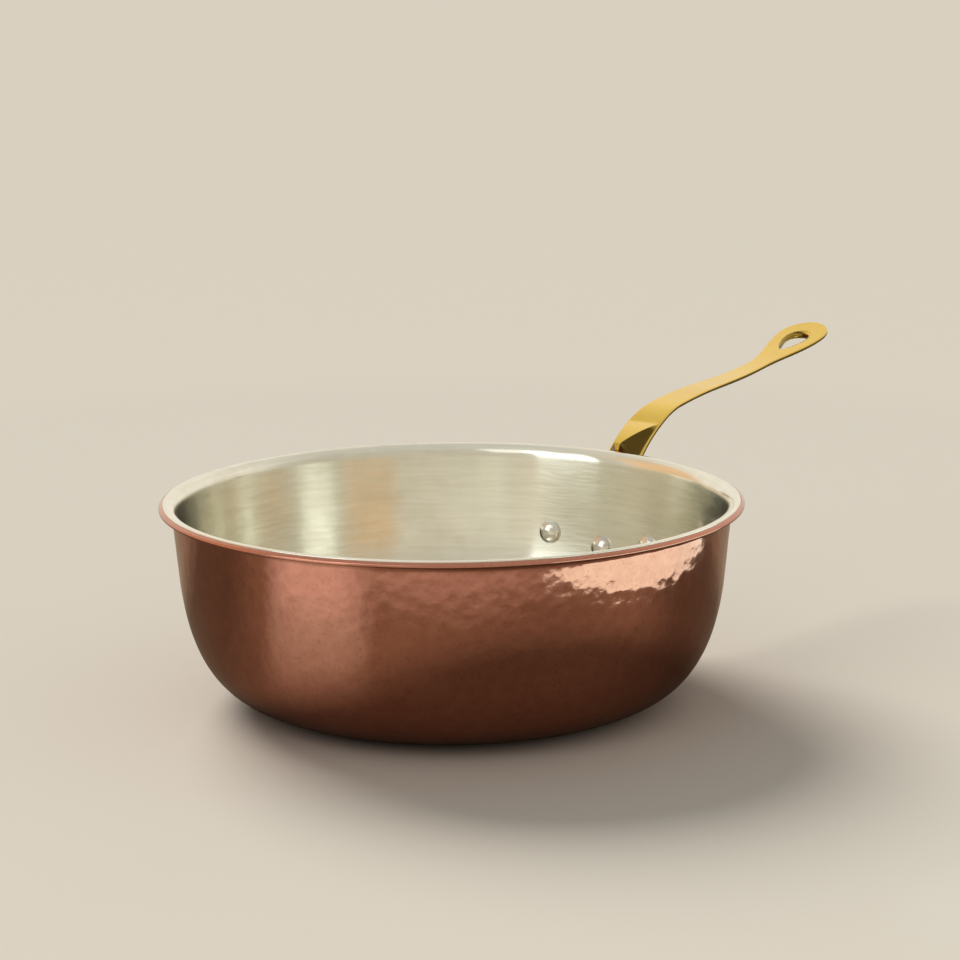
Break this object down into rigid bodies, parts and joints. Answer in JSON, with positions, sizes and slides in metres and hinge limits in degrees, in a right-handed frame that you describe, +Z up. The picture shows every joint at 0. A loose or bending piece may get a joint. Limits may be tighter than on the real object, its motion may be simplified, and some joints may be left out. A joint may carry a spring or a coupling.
{
  "type": "saute pan",
  "caption": "Deep round-sided saute pan with a turned-out lip, a tinned inside and a long riveted handle with a teardrop hanging hole, for cooking on a stove.",
  "frame": {"origin": "centre of the flat base's underside, on the pan's turning axis", "axes": "+Z up along the pan's axis; +X from the axis towards the handle's tip; the XZ plane is the mirror plane"},
  "size_m": [0.4811, 0.28, 0.1403],
  "materials": {
    "copper": "copper, finely hammered outside, satin to polished",
    "tin": "hand-wiped tin, silvery satin with faint wiping marks",
    "brass": "polished cast brass",
    "rivet_metal": "polished domed heads, tinned inside the pan"
  },
  "bodies": {
    "root": {"copper_body": "copper", "tin_lining": "tin", "handle": "brass", "rivet_left": "rivet_metal", "rivet_centre": "rivet_metal", "rivet_right": "rivet_metal"}
  },
  "joints": []
}
